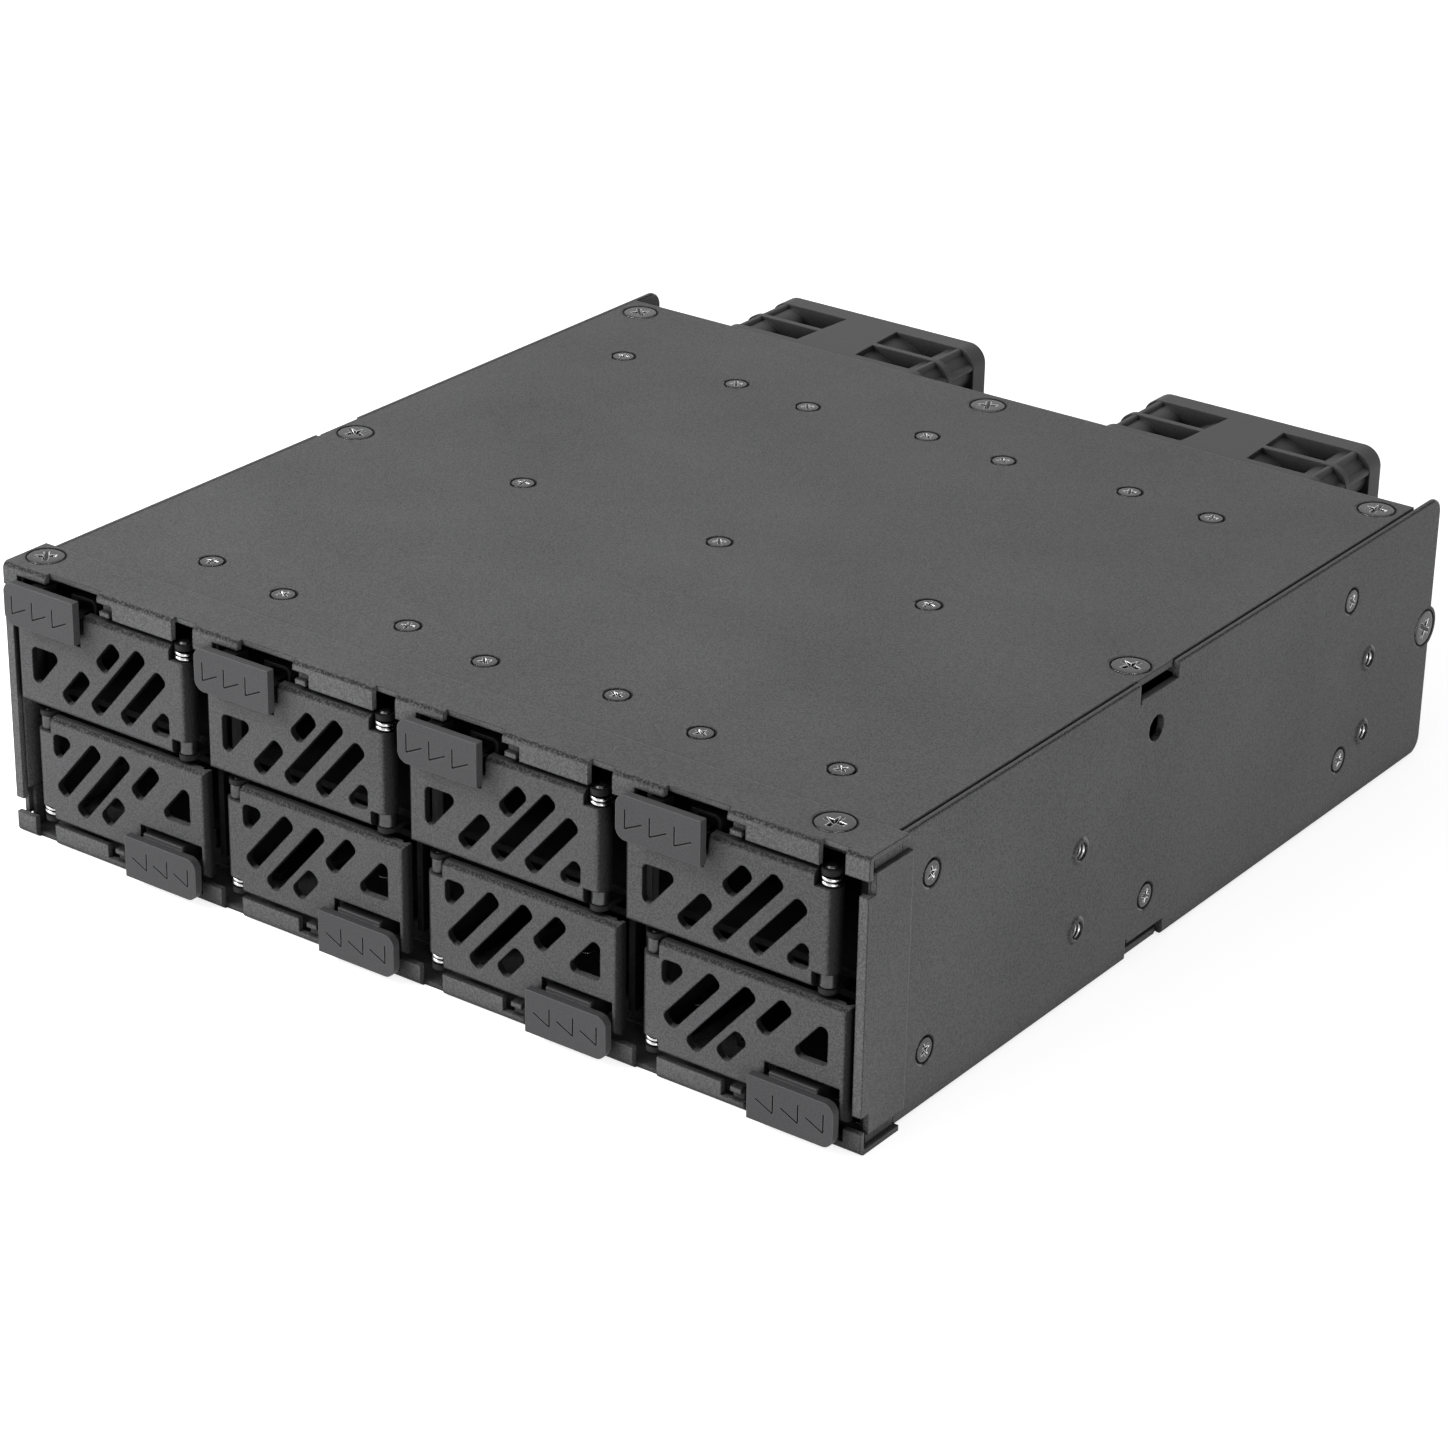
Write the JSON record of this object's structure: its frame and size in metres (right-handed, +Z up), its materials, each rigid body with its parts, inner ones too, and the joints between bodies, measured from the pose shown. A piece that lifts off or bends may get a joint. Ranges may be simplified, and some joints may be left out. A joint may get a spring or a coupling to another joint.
{
  "type": "hot swap drive cage",
  "caption": "Low steel cage for a full-width device bay, with sliding drive carriers behind vented hinged doors and axial fans at the rear.",
  "frame": {"origin": "middle of the front frame's bottom flange on its underside, on the bay's mounting plane", "axes": "+X to the right seen from the front, +Y from the front to the rear, +Z up"},
  "size_m": [0.1476, 0.1659, 0.0422],
  "materials": {
    "powder_coat": "fine textured charcoal powder coat on steel sheet",
    "zinc_steel": "zinc-plated steel sheet, satin",
    "circuit_board": "black solder mask on glass-epoxy board",
    "socket_plastic": "moulded black nylon",
    "port_shell": "tin-plated stamped shell",
    "fan_plastic": "moulded black glass-filled plastic",
    "tab_plastic": "moulded charcoal plastic, satin",
    "bare_steel": "ground steel pin",
    "spring_steel": "bright drawn spring wire",
    "black_screw": "black nickel plated steel"
  },
  "bodies": {
    "chassis": {"front_frame": "powder_coat", "top_cover": "powder_coat", "bottom_plate": "powder_coat", "left_side_panel": "powder_coat", "right_side_panel": "powder_coat", "column_dividers": "zinc_steel", "mid_shelf": "zinc_steel", "carrier_guides": "zinc_steel", "backplane_board": "circuit_board", "drive_sockets": "socket_plastic", "data_ports": "port_shell", "power_ports": "socket_plastic", "rear_panel": "powder_coat", "fan_frame_left": "fan_plastic", "fan_frame_right": "fan_plastic", "small_screws": "black_screw", "large_screws": "black_screw", "fan_screws": "black_screw"},
    "left_rotor": {"fan_rotor_left": "fan_plastic"},
    "right_rotor": {"fan_rotor_right": "fan_plastic"},
    "carrier_1_body": {"carrier_1": "powder_coat", "hinge_pin_1": "bare_steel", "hinge_spring_1": "spring_steel"},
    "door_1_body": {"door_1": "powder_coat"},
    "tab_1_body": {"release_tab_1": "tab_plastic"},
    "carrier_2_body": {"carrier_2": "powder_coat", "hinge_pin_2": "bare_steel", "hinge_spring_2": "spring_steel"},
    "door_2_body": {"door_2": "powder_coat"},
    "tab_2_body": {"release_tab_2": "tab_plastic"},
    "carrier_3_body": {"carrier_3": "powder_coat", "hinge_pin_3": "bare_steel", "hinge_spring_3": "spring_steel"},
    "door_3_body": {"door_3": "powder_coat"},
    "tab_3_body": {"release_tab_3": "tab_plastic"},
    "carrier_4_body": {"carrier_4": "powder_coat", "hinge_pin_4": "bare_steel", "hinge_spring_4": "spring_steel"},
    "door_4_body": {"door_4": "powder_coat"},
    "tab_4_body": {"release_tab_4": "tab_plastic"},
    "carrier_5_body": {"carrier_5": "powder_coat", "hinge_pin_5": "bare_steel", "hinge_spring_5": "spring_steel"},
    "door_5_body": {"door_5": "powder_coat"},
    "tab_5_body": {"release_tab_5": "tab_plastic"},
    "carrier_6_body": {"carrier_6": "powder_coat", "hinge_pin_6": "bare_steel", "hinge_spring_6": "spring_steel"},
    "door_6_body": {"door_6": "powder_coat"},
    "tab_6_body": {"release_tab_6": "tab_plastic"},
    "carrier_7_body": {"carrier_7": "powder_coat", "hinge_pin_7": "bare_steel", "hinge_spring_7": "spring_steel"},
    "door_7_body": {"door_7": "powder_coat"},
    "tab_7_body": {"release_tab_7": "tab_plastic"},
    "carrier_8_body": {"carrier_8": "powder_coat", "hinge_pin_8": "bare_steel", "hinge_spring_8": "spring_steel"},
    "door_8_body": {"door_8": "powder_coat"},
    "tab_8_body": {"release_tab_8": "tab_plastic"}
  },
  "joints": [
    {"name": "carrier_slide_1", "type": "slide", "parent": "chassis", "child": "carrier_1_body", "axis": [0, -1, 0], "range_m": [0, 0.1]},
    {"name": "door_hinge_1", "type": "hinge", "parent": "carrier_1_body", "child": "door_1_body", "pos_m": [-0.0406, -0.0024, 0.02992], "axis": [0, 0, 1], "range_deg": [0, 55]},
    {"name": "tab_slide_1", "type": "slide", "parent": "door_1_body", "child": "tab_1_body", "axis": [-1, 0, 0], "range_m": [0, 0.0018], "stiffness_N_per_m": 200},
    {"name": "carrier_slide_2", "type": "slide", "parent": "chassis", "child": "carrier_2_body", "axis": [0, -1, 0], "range_m": [0, 0.1]},
    {"name": "door_hinge_2", "type": "hinge", "parent": "carrier_2_body", "child": "door_2_body", "pos_m": [-0.0046, -0.0024, 0.02992], "axis": [0, 0, 1], "range_deg": [0, 55]},
    {"name": "tab_slide_2", "type": "slide", "parent": "door_2_body", "child": "tab_2_body", "axis": [-1, 0, 0], "range_m": [0, 0.0018], "stiffness_N_per_m": 200},
    {"name": "carrier_slide_3", "type": "slide", "parent": "chassis", "child": "carrier_3_body", "axis": [0, -1, 0], "range_m": [0, 0.1]},
    {"name": "door_hinge_3", "type": "hinge", "parent": "carrier_3_body", "child": "door_3_body", "pos_m": [0.0314, -0.0024, 0.02992], "axis": [0, 0, 1], "range_deg": [0, 55]},
    {"name": "tab_slide_3", "type": "slide", "parent": "door_3_body", "child": "tab_3_body", "axis": [-1, 0, 0], "range_m": [0, 0.0018], "stiffness_N_per_m": 200},
    {"name": "carrier_slide_4", "type": "slide", "parent": "chassis", "child": "carrier_4_body", "axis": [0, -1, 0], "range_m": [0, 0.1]},
    {"name": "door_hinge_4", "type": "hinge", "parent": "carrier_4_body", "child": "door_4_body", "pos_m": [0.0674, -0.0024, 0.02992], "axis": [0, 0, 1], "range_deg": [0, 55]},
    {"name": "tab_slide_4", "type": "slide", "parent": "door_4_body", "child": "tab_4_body", "axis": [-1, 0, 0], "range_m": [0, 0.0018], "stiffness_N_per_m": 200},
    {"name": "carrier_slide_5", "type": "slide", "parent": "chassis", "child": "carrier_5_body", "axis": [0, -1, 0], "range_m": [0, 0.1]},
    {"name": "door_hinge_5", "type": "hinge", "parent": "carrier_5_body", "child": "door_5_body", "pos_m": [-0.0674, -0.0024, 0.01232], "axis": [0, 0, -1], "range_deg": [0, 55]},
    {"name": "tab_slide_5", "type": "slide", "parent": "door_5_body", "child": "tab_5_body", "axis": [1, 0, 0], "range_m": [0, 0.0018], "stiffness_N_per_m": 200},
    {"name": "carrier_slide_6", "type": "slide", "parent": "chassis", "child": "carrier_6_body", "axis": [0, -1, 0], "range_m": [0, 0.1]},
    {"name": "door_hinge_6", "type": "hinge", "parent": "carrier_6_body", "child": "door_6_body", "pos_m": [-0.0314, -0.0024, 0.01232], "axis": [0, 0, -1], "range_deg": [0, 55]},
    {"name": "tab_slide_6", "type": "slide", "parent": "door_6_body", "child": "tab_6_body", "axis": [1, 0, 0], "range_m": [0, 0.0018], "stiffness_N_per_m": 200},
    {"name": "carrier_slide_7", "type": "slide", "parent": "chassis", "child": "carrier_7_body", "axis": [0, -1, 0], "range_m": [0, 0.1]},
    {"name": "door_hinge_7", "type": "hinge", "parent": "carrier_7_body", "child": "door_7_body", "pos_m": [0.0046, -0.0024, 0.01232], "axis": [0, 0, -1], "range_deg": [0, 55]},
    {"name": "tab_slide_7", "type": "slide", "parent": "door_7_body", "child": "tab_7_body", "axis": [1, 0, 0], "range_m": [0, 0.0018], "stiffness_N_per_m": 200},
    {"name": "carrier_slide_8", "type": "slide", "parent": "chassis", "child": "carrier_8_body", "axis": [0, -1, 0], "range_m": [0, 0.1]},
    {"name": "door_hinge_8", "type": "hinge", "parent": "carrier_8_body", "child": "door_8_body", "pos_m": [0.0406, -0.0024, 0.01232], "axis": [0, 0, -1], "range_deg": [0, 55]},
    {"name": "tab_slide_8", "type": "slide", "parent": "door_8_body", "child": "tab_8_body", "axis": [1, 0, 0], "range_m": [0, 0.0018], "stiffness_N_per_m": 200},
    {"name": "left_fan_spin", "type": "hinge", "parent": "chassis", "child": "left_rotor", "pos_m": [-0.036, 0.1496, 0.02112], "axis": [0, 1, 0], "continuous": true},
    {"name": "right_fan_spin", "type": "hinge", "parent": "chassis", "child": "right_rotor", "pos_m": [0.036, 0.1496, 0.02112], "axis": [0, 1, 0], "continuous": true}
  ]
}
